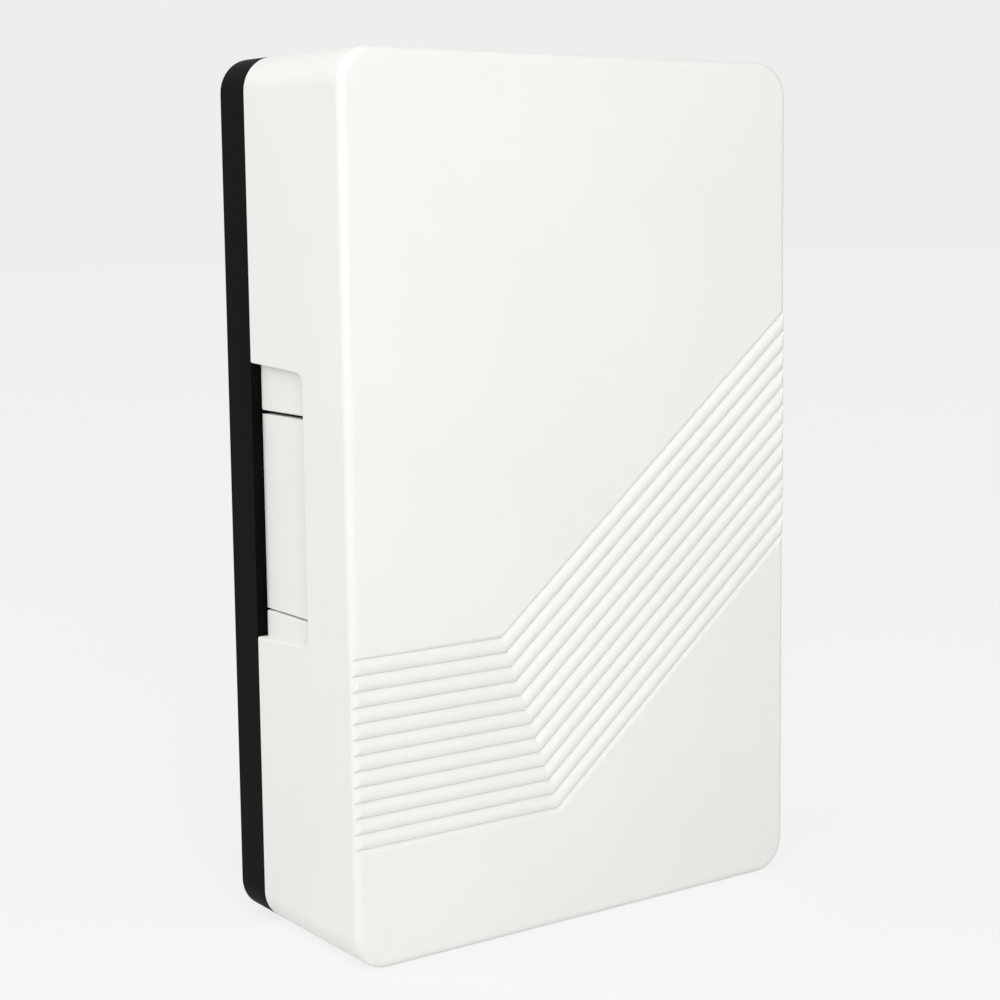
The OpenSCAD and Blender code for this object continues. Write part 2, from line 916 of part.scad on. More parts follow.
module bar_grommets() {
    color(rubber)
    stand()
        for (y = [-1, 1]) {
            grommet(coil_y + y * node_high);
            mirror([1, 0, 0])
                grommet(coil_y + y * node_low);
        }
}

module bar_pin(y) {
    head_x = bar_out + grommet_flange_t + slide_gap;
    rod_x(post_out - pin_depth, head_x + eps, y, coil_z, pin_r);
    rod_x(head_x, head_x + pin_head_t, y, coil_z, pin_head_r);
}

module bar_pins() {
    color(steel)
    stand()
        for (y = [-1, 1]) {
            bar_pin(coil_y + y * node_high);
            mirror([1, 0, 0])
                bar_pin(coil_y + y * node_low);
        }
}

// Two-way block: a channel for each clamp, wells for their screws, a hole for the fixing screw
module terminal_block() {
    color(nylon)
    stand()
        difference() {
            box([term_x - term_w / 2, term_y0, term_z0], [term_x + term_w / 2, term_y1, term_z1]);
            for (x = [clamp_ax, clamp_bx]) {
                box([x - clamp_w / 2 - run_gap, term_y0 - cut, clamp_z0],
                    [x + clamp_w / 2 + run_gap, term_y1 + cut, clamp_z0 + clamp_d + run_gap]);
                rod_z(x, term_y, clamp_z0, term_z1 + cut, tscrew_head_r + seat_gap);
            }
            rod_z(term_x, term_y, term_z0 - cut, term_z1 + cut, screw_r + seat_gap);
        }
}

module terminal_clamps() {
    color(brass)
    stand()
        for (x = [clamp_ax, clamp_bx])
            difference() {
                box([x - clamp_w / 2, term_y0, clamp_z0], [x + clamp_w / 2, term_y1, clamp_z0 + clamp_d]);
                rod_y(x, term_y0 - cut, term_y1 - clamp_end, wire_z, wire_bore_r);
                rod_z(x, term_y, wire_z, clamp_z0 + clamp_d + cut, tscrew_r);
            }
}

// Clamp screws, backed off so that a wire can go in under them
module terminal_screws() {
    tip = wire_z + wire_bore_r + slide_gap;
    head = term_z1 - tscrew_head_t - tscrew_sink;
    color(steel)
    stand()
        for (x = [clamp_ax, clamp_bx])
            difference() {
                union() {
                    rod_z(x, term_y, tip, head + eps, tscrew_r);
                    rod_z(x, term_y, head, head + tscrew_head_t, tscrew_head_r);
                }
                translate([x, term_y, head + tscrew_head_t])
                    cube([2 * tscrew_head_r + cut, slot_w, 2 * tscrew_in], center = true);
            }
}

module terminal_fixing() {
    color(steel)
    stand()
        pan_screw(term_x, term_y, term_z1);
}

module lead(route) {
    path = route_path(route);
    polyhedron(route_points(path, lead_r), tube_faces(len(path), lead_sides));
}

module coil_lead_a() {
    color(rubber)
    stand()
        lead(lead_route(lead_ax, clamp_ax, lead_bow_a));
}

module coil_lead_b() {
    color(rubber)
    stand()
        lead(lead_route(lead_bx, clamp_bx, lead_bow_b));
}

base();
cover();
release_latch_left();
release_latch_right();
latch_spring_left();
latch_spring_right();
plunger();
striker_pin();
striker_cap();
spring_clip();
return_spring();
bobbin();
winding();
coil_tape();
yoke();
yoke_screws();
tone_bar_low();
tone_bar_high();
bar_grommets();
bar_pins();
terminal_block();
terminal_clamps();
terminal_screws();
terminal_fixing();
coil_lead_a();
coil_lead_b();
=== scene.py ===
# %% [markdown]
# # A wall chime box
# The object is a wired doorbell chime: a white moulded cover with a ribbed band, latched on a black
# base, and inside it a coil that throws a striker against two tone bars. The solids come from the
# CAD frame. This lesson gives them the softened edges, the wound wire and the finishes of the real
# thing, and lights them as in a small product studio.

# %% Load the frame
import math

import bmesh
import bpy
from mathutils import Matrix, Vector


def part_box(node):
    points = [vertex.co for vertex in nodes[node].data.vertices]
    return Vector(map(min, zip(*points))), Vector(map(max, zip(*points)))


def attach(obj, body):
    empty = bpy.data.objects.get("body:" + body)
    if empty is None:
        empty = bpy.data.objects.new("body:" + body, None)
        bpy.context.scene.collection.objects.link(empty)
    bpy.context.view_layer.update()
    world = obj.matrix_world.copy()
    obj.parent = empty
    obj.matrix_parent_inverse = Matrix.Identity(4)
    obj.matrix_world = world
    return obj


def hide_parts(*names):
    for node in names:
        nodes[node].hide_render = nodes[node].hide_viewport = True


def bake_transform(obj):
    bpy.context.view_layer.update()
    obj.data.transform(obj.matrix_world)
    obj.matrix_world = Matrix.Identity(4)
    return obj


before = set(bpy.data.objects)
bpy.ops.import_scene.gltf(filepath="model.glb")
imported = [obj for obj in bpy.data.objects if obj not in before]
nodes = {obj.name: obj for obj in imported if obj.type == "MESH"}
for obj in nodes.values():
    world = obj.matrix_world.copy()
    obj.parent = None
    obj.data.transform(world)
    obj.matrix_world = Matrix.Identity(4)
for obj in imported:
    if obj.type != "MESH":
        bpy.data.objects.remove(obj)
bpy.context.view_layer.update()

MM = 0.001
print("nodes from CAD:", len(nodes))

# %% [markdown]
# The sizes below are read off the frame, so the pieces land where the CAD puts them. Only what the
# boxes of the nodes can't tell, such as a radius or a wall, is written down as a real size.

# %% Sizes of the case
base_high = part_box("base")[1]
cover_low, cover_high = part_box("cover")
half_w = base_high.x
half_h = base_high.z
rim_y = cover_high.y
rib_rise = cover_high.x - half_w
face_y = cover_low.y + rib_rise
corner_r = 5 * MM
edge_r = 1.2 * MM
wall = 1.4 * MM
front_t = 2.2 * MM
print("case in mm:", [round(v / MM, 2) for v in (2 * half_w, 2 * half_h, -face_y, -rim_y)])

# %% [markdown]
# Modelling here is done with the same operators that the menus call. Each of them acts on what is
# selected, so a few helpers empty the selection, pick edges or faces by their place or direction, and
# put a new piece's place into its mesh.

# %% Helpers for selecting
# Places count as the same within a micrometre, and directions within eight degrees
NEAR = 0.001 * MM
STRAIGHT = 0.99


def only(piece):
    """Leaves one piece selected and active, in object mode."""
    if bpy.context.mode != "OBJECT":
        bpy.ops.object.mode_set(mode="OBJECT")
    bpy.ops.object.select_all(action="DESELECT")
    if piece:
        piece.select_set(True)
        bpy.context.view_layer.objects.active = piece


def pick(piece, kind, test):
    """In edit mode, selects the edges or faces for which test(middle, direction) is true."""
    bpy.ops.object.mode_set(mode="EDIT")
    bpy.ops.mesh.select_mode(type=kind)
    bpy.ops.mesh.select_all(action="DESELECT")
    shape = bmesh.from_edit_mesh(piece.data)
    if kind == "FACE":
        for face in shape.faces:
            face.select_set(test(face.calc_center_median(), face.normal))
    else:
        for edge in shape.edges:
            a, b = edge.verts[0].co, edge.verts[1].co
            edge.select_set(test((a + b) / 2, (b - a).normalized()))
    bmesh.update_edit_mesh(piece.data)


def pick_all(kind):
    """In edit mode, selects the whole piece."""
    bpy.ops.object.mode_set(mode="EDIT")
    bpy.ops.mesh.select_mode(type=kind)
    bpy.ops.mesh.select_all(action="SELECT")


def added(name):
    """Names the primitive that was just added and puts its place into its mesh."""
    piece = bpy.context.object
    piece.name = name
    piece.data.name = name
    bpy.ops.object.transform_apply(location=True, rotation=True, scale=True)
    return piece


def block(name, low, high):
    """A box between two corners, as a start for cutting and bevelling."""
    only(None)
    sides = [sorted(pair) for pair in zip(low, high)]
    low, high = (Vector(corner) for corner in zip(*sides))
    bpy.ops.mesh.primitive_cube_add(size=1, location=(low + high) / 2)
    bpy.context.object.scale = high - low
    return added(name)


# %% [markdown]
# A modifier can stay live, but here each one is applied at once, so that the next step works on a
# finished mesh. What repeats on the box is modelled once and copied, and each copy has its own mesh.
# A mirrored copy comes out inside out, so its faces are turned outwards again.

# %% Helpers for shaping and copying


def finish_with(piece, kind, **settings):
    """Adds one modifier, sets it and applies it."""
    only(piece)
    modifier = piece.modifiers.new(kind.title(), kind)
    for key, value in settings.items():
        setattr(modifier, key, value)
    bpy.ops.object.modifier_apply(modifier=modifier.name)


def cut(piece, cutter, operation="DIFFERENCE"):
    """Cuts one piece with another, which is used up."""
    finish_with(piece, "BOOLEAN", operation=operation, object=cutter, solver="EXACT")
    bpy.data.objects.remove(cutter)


def copied(piece, shift=(0, 0, 0), turn=0):
    """A copy of a piece with its own mesh, turned about the vertical and then moved."""
    twin = piece.copy()
    twin.data = piece.data.copy()
    bpy.context.collection.objects.link(twin)
    only(twin)
    twin.rotation_euler.z = turn
    twin.location = shift
    bpy.ops.object.transform_apply(location=True, rotation=True)
    return twin


def face_outwards():
    """Turns all faces of the active piece outwards."""
    pick_all("FACE")
    bpy.ops.mesh.normals_make_consistent(inside=False)
    bpy.ops.object.mode_set(mode="OBJECT")


def mirrored(piece):
    """A mirror image of a piece on the other side of the box."""
    twin = copied(piece)
    twin.scale.x = -1
    bpy.ops.object.transform_apply(scale=True)
    face_outwards()
    return twin


def join(name, pieces):
    """Makes one piece of several."""
    only(pieces[0])
    for piece in pieces:
        piece.select_set(True)
    bpy.ops.object.join()
    return added(name)


def smooth(piece, angle=35):
    """Shades a piece round, apart from edges sharper than an angle."""
    only(piece)
    bpy.ops.object.shade_smooth_by_angle(angle=math.radians(angle))
    finish_with(piece, "WEIGHTED_NORMAL", keep_sharp=True)


def tell(piece):
    """Prints how many faces a piece has."""
    print(piece.name, "has", len(piece.data.polygons), "faces")


# %% [markdown]
# ## Finishes
# Every finish is a small tree of nodes. One function adds a node, sets its values and links its
# inputs. Colours are written as sRGB hex values, as a paint chart gives them, and turned to the
# linear values that the renderer works in. The grain of each finish is written in millimetres: a
# texture's scale is then one over that size in metres.

# %% Helpers for finishes


def linear(hex_code):
    """Linear RGBA of an sRGB hex value."""
    channels = [int(hex_code[i:i + 2], 16) / 255 for i in (0, 2, 4)]
    return [c / 12.92 if c <= 0.04045 else ((c + 0.055) / 1.055) ** 2.4 for c in channels] + [1]


def per_mm(size):
    """Texture scale for a grain of a size in millimetres."""
    return 1 / (size * MM)


def add(tree, kind, settings=None, **values):
    """Adds a node. A value is a number or colour, or another node's output to link."""
    node = tree.nodes.new("ShaderNode" + kind)
    for key, value in (settings or {}).items():
        setattr(node, key, value)
    for key, value in values.items():
        by_number = key[1:].isdigit()
        socket = node.inputs[int(key[1:]) if by_number else key.replace("_", " ")]
        if isinstance(value, bpy.types.NodeSocket):
            tree.links.new(value, socket)
        else:
            socket.default_value = value
    return node


def finish(name, **shader):
    """A new material with a Principled shader, and Object coordinates to draw its grain on."""
    material = bpy.data.materials.new(name)
    material.use_nodes = True
    tree = material.node_tree
    surface = tree.nodes["Principled BSDF"]
    for key, value in shader.items():
        surface.inputs[key.replace("_", " ")].default_value = value
    place = add(tree, "TexCoord").outputs["Object"]
    return material, tree, surface, place


def dress(piece, material):
    """Gives a piece one finish."""
    piece.data.materials.clear()
    piece.data.materials.append(material)


# %% [markdown]
# Few real surfaces are one colour. On a moulding the plastic flowed unevenly and hands have polished
# it here and there, on a metal the plating varies. So one recipe serves many finishes: large soft
# noise drifts the colour and the shine, and fine noise, which can be stretched into lines, gives the
# grain as bump. A grain is about a sixth as deep as it is wide.

# %% Recipe for a mottled finish
PATCH_STOPS = (0.35, 0.7)
PATCH_DETAIL = 3.0
GRAIN_DETAIL = 2.0
GRAIN_FLATNESS = 6


def mottled(name, colours, patch, shine, grain, strength, stretch=(1, 1, 1), **shader):
    """A finish with patches and a grain of given sizes in millimetres."""
    material, tree, surface, place = finish(name, **shader)
    patches = add(tree, "TexNoise", Vector=place, Scale=per_mm(patch), Detail=PATCH_DETAIL)
    tone = add(tree, "ValToRGB", Fac=patches.outputs["Fac"])
    for stop, position, colour in zip(tone.color_ramp.elements, PATCH_STOPS, colours):
        stop.position = position
        stop.color = linear(colour)
    tree.links.new(tone.outputs["Color"], surface.inputs["Base Color"])
    sheen = add(tree, "MapRange", Value=patches.outputs["Fac"], To_Min=shine[0], To_Max=shine[1])
    tree.links.new(sheen.outputs["Result"], surface.inputs["Roughness"])
    drawn = add(tree, "Mapping", Vector=place, Scale=stretch).outputs["Vector"]
    fine = add(tree, "TexNoise", Vector=drawn, Scale=per_mm(grain), Detail=GRAIN_DETAIL)
    relief = add(tree, "Bump", Height=fine.outputs["Fac"], Strength=strength,
                 Distance=grain * MM / GRAIN_FLATNESS)
    tree.links.new(relief.outputs["Normal"], surface.inputs["Normal"])
    return material


# %% [markdown]
# The cover and the latches are ABS, moulded against a lightly spark-eroded tool. The eye sees a warm
# off-white with a soft sheen, a grain as fine as flour, and very slight clouds of tone. The base is
# black ABS with a coarser grain, which spreads the light so that its side looks dark grey and never
# mirrors the room.

# %% White and black moulded ABS
ABS_IOR = 1.53
white_abs = mottled("white_moulded_abs", ("EBEAE6", "EDECE9"), patch=26, shine=(0.56, 0.64),
                    grain=0.35, strength=0.12, IOR=ABS_IOR)
black_abs = mottled("black_moulded_abs", ("070708", "0B0B0C"), patch=9, shine=(0.5, 0.62),
                    grain=0.5, strength=0.25, IOR=ABS_IOR, Specular_IOR_Level=0.03)
print("case:", white_abs.name, black_abs.name)

# %% [markdown]
# ## The cover
# The real cover is one moulding: a shallow box with rounded corners, open at the back. By hand it
# starts as a cube. Bevelling its four corner edges and then its front outline gives the moulded form,
# and insetting and extruding the back face makes the hollow, so the walls have their true thickness.

# %% Outer form of the cover
CORNER_STEPS = 14
EDGE_STEPS = 8


def round_block(name, half_width, half_height, front, back, corner, edge):
    """A block with rounded corners and a rounded front edge."""
    piece = block(name, (-half_width, front, -half_height), (half_width, back, half_height))
    pick(piece, "EDGE", lambda middle, along: abs(along.y) > STRAIGHT)
    bpy.ops.mesh.bevel(offset=corner, segments=CORNER_STEPS, affect="EDGES", clamp_overlap=False)
    pick(piece, "EDGE", lambda middle, along: abs(middle.y - front) < NEAR)
    bpy.ops.mesh.bevel(offset=edge, segments=EDGE_STEPS, affect="EDGES", clamp_overlap=False)
    bpy.ops.object.mode_set(mode="OBJECT")
    return piece


cover = round_block("cover_shell", half_w, half_h, face_y, rim_y, corner_r, edge_r)
pick(cover, "FACE", lambda middle, normal: normal.y > STRAIGHT)
bpy.ops.mesh.inset(thickness=wall, use_even_offset=True)
hollow = face_y + front_t - rim_y
bpy.ops.mesh.extrude_region_move(TRANSFORM_OT_translate={"value": (0, hollow, 0)})
tell(cover)

# %% [markdown]
# The front carries twelve ribs: low pillows with narrow valleys between them. The section of one rib
# is worked out first, because the floor under the band has to lie as deep as the valleys. A rib is a
# crest arc, a small shoulder arc on either side and a straight flank down into the valley.

# %% Section of the ribs
rib_pitch = 2.19 * MM
rib_count = 12
crest_r = 1.22 * MM
shoulder_r = 0.03 * MM
crest_lean = math.radians(58)
flank_lean = math.radians(65)
shoulder_out = (crest_r - shoulder_r) * math.sin(crest_lean)
shoulder_in = (crest_r - shoulder_r) * math.cos(crest_lean)
flank_out = rib_pitch / 2 - shoulder_out - shoulder_r * math.sin(flank_lean)
flank_depth = flank_out * math.tan(flank_lean)
crest_y = face_y - rib_rise
shoulder_y = crest_y + crest_r - shoulder_in
valley_y = shoulder_y - shoulder_r * math.cos(flank_lean) + flank_depth
valley_depth = valley_y - face_y
print("valleys lie", round(valley_depth / MM, 3), "mm under the face")

# %% [markdown]
# The band runs level from the left and then rises to the right, so it is made in two halves that
# meet on a mitre line. Two helpers serve the sunken floor and the ribs alike: one puts a long piece
# at the bend and turns it for the rising half, the other bisects it on the mitre.

# %% Helpers for the two halves of the band
band_h = rib_pitch * rib_count
band_top = -18.8 * MM
bend_x = -14.3 * MM
band_angle = math.radians(39.8)
reach = 4 * half_w
overlap = 0.02 * MM
knee = Vector((bend_x, face_y, band_top))
mitre = Vector((math.cos(band_angle / 2), 0, math.sin(band_angle / 2)))


def put_at_bend(piece, bend, rising):
    """Moves a piece to the bend, and turns it for the rising half."""
    only(piece)
    piece.rotation_euler.y = -band_angle if rising else 0
    piece.location = bend
    bpy.ops.object.transform_apply(location=True, rotation=True)


def cut_on_mitre(rising):
    """Keeps the part of the active piece on its own side of the bend, and a little past it."""
    pick_all("VERT")
    past = mitre * (-overlap if rising else overlap)
    bpy.ops.mesh.bisect(plane_co=knee + past, plane_no=mitre, use_fill=True,
                        clear_outer=not rising, clear_inner=rising)
    bpy.ops.object.mode_set(mode="OBJECT")


print("band is", round(band_h / MM, 2), "mm wide")

# %% [markdown]
# The sunken floor could be inset on the face, but the band crosses the rounded edges, so a cutter is
# simpler. It is a long block whose front face is extruded in steps, each a little taller than the
# last, so that both lips of the floor roll over with the ribs' own lean. A copy serves each half. It
# is first cut itself, by a block like the cover's that lies deeper, so that the floor keeps a rounded
# edge at the sides.

# %% Sunken floor of the band
band_sink = 0.9 * MM
lip_steps = 6
lip_r = valley_depth / (1 - math.cos(flank_lean))

run = block("band_run", (-reach, valley_depth, -band_h), (reach, 2 * edge_r, 0))
risen = 0
height = band_h
for step in range(1, lip_steps + 1):
    lean = flank_lean * (1 - step / lip_steps)
    rise = valley_depth - lip_r * (1 - math.cos(lean)) - risen
    taller = band_h + 2 * lip_r * (math.sin(flank_lean) - math.sin(lean))
    pick(run, "FACE", lambda middle, normal: normal.y < -STRAIGHT)
    bpy.ops.mesh.extrude_region_move(TRANSFORM_OT_translate={"value": (0, -rise, 0)})
    bpy.ops.transform.resize(value=(1, 1, taller / height), center_override=(0, 0, -band_h / 2))
    risen += rise
    height = taller
bpy.ops.mesh.extrude_region_move(TRANSFORM_OT_translate={"value": (0, -valley_depth, 0)})
bpy.ops.object.mode_set(mode="OBJECT")

lowered = round_block("band_floor", half_w + overlap, half_h, face_y + band_sink, rim_y, corner_r,
                      edge_r - band_sink)
for rising in (False, True):
    cutter = copied(run)
    put_at_bend(cutter, knee, rising)
    cut_on_mitre(rising)
    cut(cutter, copied(lowered))
    cut(cover, cutter)
bpy.data.objects.remove(run)
bpy.data.objects.remove(lowered)
tell(cover)

# %% [markdown]
# The outline of the twelve ribs can be drawn with Spin: a single vertex is slid up the flank and
# swung round the middle of each shoulder and crest in turn, which leaves a chain of arcs that meet
# without a kink. Extruded backwards and flattened there, the chain becomes the cross-section of the
# whole band, with its back inside the cover's front wall.

# %% Outline of the ribs
arc_steps = 6
tuck = 0.45 * MM
band_back = face_y + 0.8 * front_t


def slide(out, back):
    """Draws the outline on in a straight line, downwards and backwards."""
    bpy.ops.mesh.extrude_vertices_move(TRANSFORM_OT_translate={"value": (0, back, -out)})


def swing(middle_y, middle_z, angle, steps):
    """Swings the outline's last vertex round a point of the YZ plane."""
    bpy.ops.mesh.spin(steps=steps, angle=angle, center=(0, middle_y, middle_z), axis=(1, 0, 0))


only(None)
bpy.ops.mesh.primitive_plane_add(size=MM, location=(0, valley_y, tuck))
ribs = added("rib_outline")
pick_all("VERT")
bpy.ops.mesh.merge(type="CENTER")
slide(tuck, 0)
for i in range(rib_count):
    middle = -(i + 0.5) * rib_pitch
    slide(flank_out, -flank_depth)
    swing(shoulder_y, middle + shoulder_out, crest_lean - flank_lean, arc_steps)
    swing(crest_y + crest_r, middle, -2 * crest_lean, 2 * arc_steps)
    swing(shoulder_y, middle - shoulder_out, crest_lean - flank_lean, arc_steps)
    slide(flank_out, flank_depth)
slide(tuck, 0)
bpy.ops.object.mode_set(mode="OBJECT")
depths = [v.co.y for v in ribs.data.vertices]
print("ribs are", round((max(depths) - min(depths)) / MM, 3), "mm deep")
pick_all("EDGE")
bpy.ops.mesh.extrude_edges_move(TRANSFORM_OT_translate={"value": (0, front_t, 0)})
bpy.ops.transform.resize(value=(1, 0, 1), center_override=(0, band_back, 0))
bpy.ops.object.mode_set(mode="OBJECT")

# %% [markdown]
# The cross-section is drawn out into a long bar of ribs, and a copy of it serves each half of the
# band. On the real moulding the ribs stop where the case's edge rounds over, so a block with the
# case's own rounding trims their ends: the edge stays one smooth line and only the valleys nick it.

# %% Ribbed band
only(ribs)
ribs.location.x = -reach / 2
bpy.ops.object.transform_apply(location=True)
pick_all("FACE")
bpy.ops.mesh.extrude_region_move(TRANSFORM_OT_translate={"value": (reach, 0, 0)})
face_outwards()

trim = round_block("rib_trim", half_w - overlap, half_h, crest_y, rim_y, corner_r, edge_r)
halves = []
for rising in (False, True):
    half = copied(ribs)
    put_at_bend(half, (bend_x, 0, band_top), rising)
    cut_on_mitre(rising)
    cut(half, copied(trim), "INTERSECT")
    halves.append(half)
bpy.data.objects.remove(ribs)
bpy.data.objects.remove(trim)
band = join("rib_band", halves)
tell(band)

# %% [markdown]
# A notch in each side lets a finger reach the latch. Its walls lean by a few degrees, so that the
# moulding leaves its tool, and its two inner corners are round. A tapered block with two bevelled
# edges cuts it, a mirrored copy cuts the other, and a fine bevel softens the rim of the cuts.

# %% Notches for the latches
notch_h = 39.4 * MM
notch_d = 14.6 * MM
notch_lean = math.tan(math.radians(2.8))
notch_r = 1.6 * MM
notch_end = rim_y - notch_d
notch_ease = 0.25 * MM
notch_steps = 8
ease_steps = 4
past_rim = MM
rim_slack = 0.1 * MM

low_h = notch_h / 2 + notch_lean * past_rim
inner = half_w - 1.5 * wall
notch = block("notch", (-inner, notch_end, -low_h), (-half_w - wall, rim_y + past_rim, low_h))
pick(notch, "FACE", lambda middle, normal: normal.y < -STRAIGHT)
bpy.ops.transform.resize(value=(1, 1, 1 - notch_lean * (notch_d + past_rim) / low_h))
pick(notch, "EDGE",
     lambda middle, along: abs(along.x) > STRAIGHT and abs(middle.y - notch_end) < NEAR)
bpy.ops.mesh.bevel(offset=notch_r, segments=notch_steps, affect="EDGES")
bpy.ops.object.mode_set(mode="OBJECT")
for cutter in (notch, mirrored(notch)):
    cut(cover, cutter)


def on_notch_rim(middle, along):
    """True for the edges where a notch meets the side of the case."""
    on_side = abs(abs(middle.x) - half_w) < NEAR
    deep = notch_end - 10 * NEAR < middle.y < rim_y - NEAR
    return on_side and deep and abs(middle.z) < notch_h / 2 + rim_slack


pick(cover, "EDGE", on_notch_rim)
bpy.ops.mesh.bevel(offset=notch_ease, segments=ease_steps, affect="EDGES")
bpy.ops.object.mode_set(mode="OBJECT")
tell(cover)

# %% [markdown]
# Behind each notch the moulding carries two webs, which close the notch beside the latch, two ears
# with bores for the latch's trunnions, and a rib with a peg that the latch spring pushes against.
# Two helpers make such fittings: a block with all its edges bevelled, and a round pin whose two ends
# are eased.

# %% Helpers for blocks and pins
ROUND_SIDES = 32


def eased_block(name, low, high, ease, segments=4):
    """A block between two corners in millimetres, with all its edges bevelled."""
    piece = block(name, Vector(low) * MM, Vector(high) * MM)
    finish_with(piece, "BEVEL", width=ease, segments=segments, limit_method="NONE")
    return piece


def pin(name, radius, start, end, ease, segments=3):
    """A round pin along X with eased ends."""
    only(None)
    bpy.ops.mesh.primitive_cylinder_add(vertices=ROUND_SIDES, radius=radius,
                                        depth=abs(end.x - start.x), location=(start + end) / 2,
                                        rotation=(0, math.pi / 2, 0))
    piece = added(name)
    pick(piece, "EDGE",
         lambda middle, along: min(abs(middle.x - start.x), abs(middle.x - end.x)) < NEAR)
    bpy.ops.mesh.bevel(offset=ease, segments=segments, affect="EDGES")
    bpy.ops.object.mode_set(mode="OBJECT")
    return piece


# %% [markdown]
# Each fitting is sunk a little into the wall that carries it, as parts of one moulding run into each
# other. The set is made on the left, with a bore drilled through each ear, and copied as a mirror
# image to the right. Then cover, band and fittings become one piece.

# %% Webs, ears and spring ribs inside the cover
webs = [((-37.35, -25.4, 12.95), (-36.1, -7.45, 21.7)),
        ((-37.35, -25.4, -21.7), (-36.1, -7.45, -15.85))]
ears = [((-37.35, -31.65, 12.65), (-33.8, -25.35, 14.65)),
        ((-37.35, -31.65, -17.75), (-33.8, -25.35, -15.75))]
spring_rib = ((-31.3, -31.65, -5.55), (-29.8, -13.925, 2.45))
web_ease = 0.3 * MM
bore_r = 1.05 * MM
bore_depth = 5 * MM
pivot_x = -35.8 * MM
pivot_y = -27.8 * MM
peg_r = 1.2 * MM
peg_ease = 0.3 * MM
peg_seat = Vector((-31.25, -16.625, -1.55)) * MM
peg_tip = Vector((-32.5, -16.625, -1.55)) * MM
cover_sharp = 25

fittings = [eased_block("web", *web, web_ease) for web in webs]
for low, high in ears:
    ear = eased_block("ear", low, high, web_ease)
    only(None)
    bore_place = (pivot_x, pivot_y, (low[2] + high[2]) / 2 * MM)
    bpy.ops.mesh.primitive_cylinder_add(vertices=ROUND_SIDES, radius=bore_r, depth=bore_depth,
                                        location=bore_place)
    cut(ear, added("bore"))
    fittings.append(ear)
fittings.append(eased_block("spring_rib", *spring_rib, web_ease))
fittings.append(pin("spring_peg", peg_r, peg_seat, peg_tip, peg_ease))
fittings += [mirrored(piece) for piece in fittings]
cover = join("cover_shell", [cover, band] + fittings)
smooth(cover, cover_sharp)
dress(cover, white_abs)
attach(cover, "cover")
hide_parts("cover")
tell(cover)

# %% [markdown]
# ## Eased copies of the CAD solids
# CAD edges are perfectly sharp, and real ones never are: a moulding has a radius from its tool and a
# pressed part a rolled edge, and each catches a line of light. A copy of the CAD mesh is merged, its
# flat triangles are dissolved into whole faces, and a bevel eases the edges that are sharper than an
# angle.

# %% Helpers for eased copies
merge_gap = 0.002 * MM
flat_angle = math.radians(0.5)


def eased_copy(node, name, ease, angle=38, segments=2):
    """A copy of a CAD node with its sharp edges bevelled."""
    piece = nodes[node].copy()
    piece.data = nodes[node].data.copy()
    piece.name = name
    piece.data.name = name
    piece.parent = None
    bpy.context.collection.objects.link(piece)
    only(piece)
    pick_all("VERT")
    bpy.ops.mesh.remove_doubles(threshold=merge_gap)
    bpy.ops.mesh.dissolve_limited(angle_limit=flat_angle)
    bpy.ops.object.mode_set(mode="OBJECT")
    finish_with(piece, "BEVEL", width=ease, segments=segments, limit_method="ANGLE",
                angle_limit=math.radians(angle), use_clamp_overlap=True)
    smooth(piece)
    return piece


def stand_in(piece, node, body, material):
    """Dresses a piece that stands for one CAD node."""
    dress(piece, material)
    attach(piece, body)
    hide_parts(node)
    tell(piece)


# %% [markdown]
# The base is a black tray, and each latch a white plate with a hook. Both are mouldings, so their
# edges get the radius of a tool. Each latch also has a small round mark in its middle, where the
# plastic entered the tool: a low pin with an eased rim, joined to the plate.

# %% Base and latches
mould_ease = 0.2 * MM
latch_ease = 0.3 * MM
mark_r = 0.45 * MM
mark_rise = 0.16 * MM
mark_ease = 0.06 * MM
mark_x, mark_y, mark_z = 37.1 * MM, -13.94 * MM, -1.95 * MM

stand_in(eased_copy("base", "base_tray", mould_ease), "base", "base", black_abs)
for side, sign in (("left", -1), ("right", 1)):
    node = "release_latch_" + side
    plate = eased_copy(node, "latch_plate", latch_ease, segments=3)
    mark_foot = Vector((sign * mark_x, mark_y, mark_z))
    mark_top = Vector((sign * (mark_x + mark_rise), mark_y, mark_z))
    mark = pin("gate_mark", mark_r, mark_foot, mark_top, mark_ease)
    latch = join("latch_" + side, [plate, mark])
    smooth(latch)
    stand_in(latch, node, "latch_" + side, white_abs)

# %% [markdown]
# ## Inside the box
# The parts under the cover are placed as on a drawing of the box: so far across, so far up and so far
# out from the wall, in millimetres. Pressed and moulded parts keep their CAD form with eased edges.
# The finishes come first.

# %% Helper for places


def at(across, up, out):
    """A point of the drawing as a point of the scene."""
    return Vector((across, -out, up)) * MM


axis_up = 10
axis_out = 15.5
print("striker axis at", [round(v, 4) for v in at(0, axis_up, axis_out)])

# %% [markdown]
# Bare and plated metals look alike in colour, and the eye tells them apart by their surface. Nickel
# plating is smooth and warm. Drawn spring wire is greyer. Blued steel is almost black. Brass from the
# lathe shows fine scratches. In each, the shine drifts where fingers have touched it.

# %% Small metal parts
plated_steel = mottled("nickel_plated_steel", ("B7B5AE", "CDCBC4"), patch=4, shine=(0.16, 0.3),
                       grain=0.3, strength=0.1, Metallic=1.0)
spring_steel = mottled("drawn_spring_steel", ("83858A", "9EA0A4"), patch=2, shine=(0.22, 0.36),
                       grain=0.2, strength=0.1, Metallic=1.0)
dark_steel = mottled("blued_spring_steel", ("23262B", "343A42"), patch=2.5, shine=(0.3, 0.46),
                     grain=0.25, strength=0.12, Metallic=1.0)
brass = mottled("machined_brass", ("AE863C", "C59D52"), patch=3, shine=(0.2, 0.36),
                grain=0.25, strength=0.15, Metallic=1.0)
print("metals:", [m.name for m in (plated_steel, spring_steel, dark_steel, brass)])

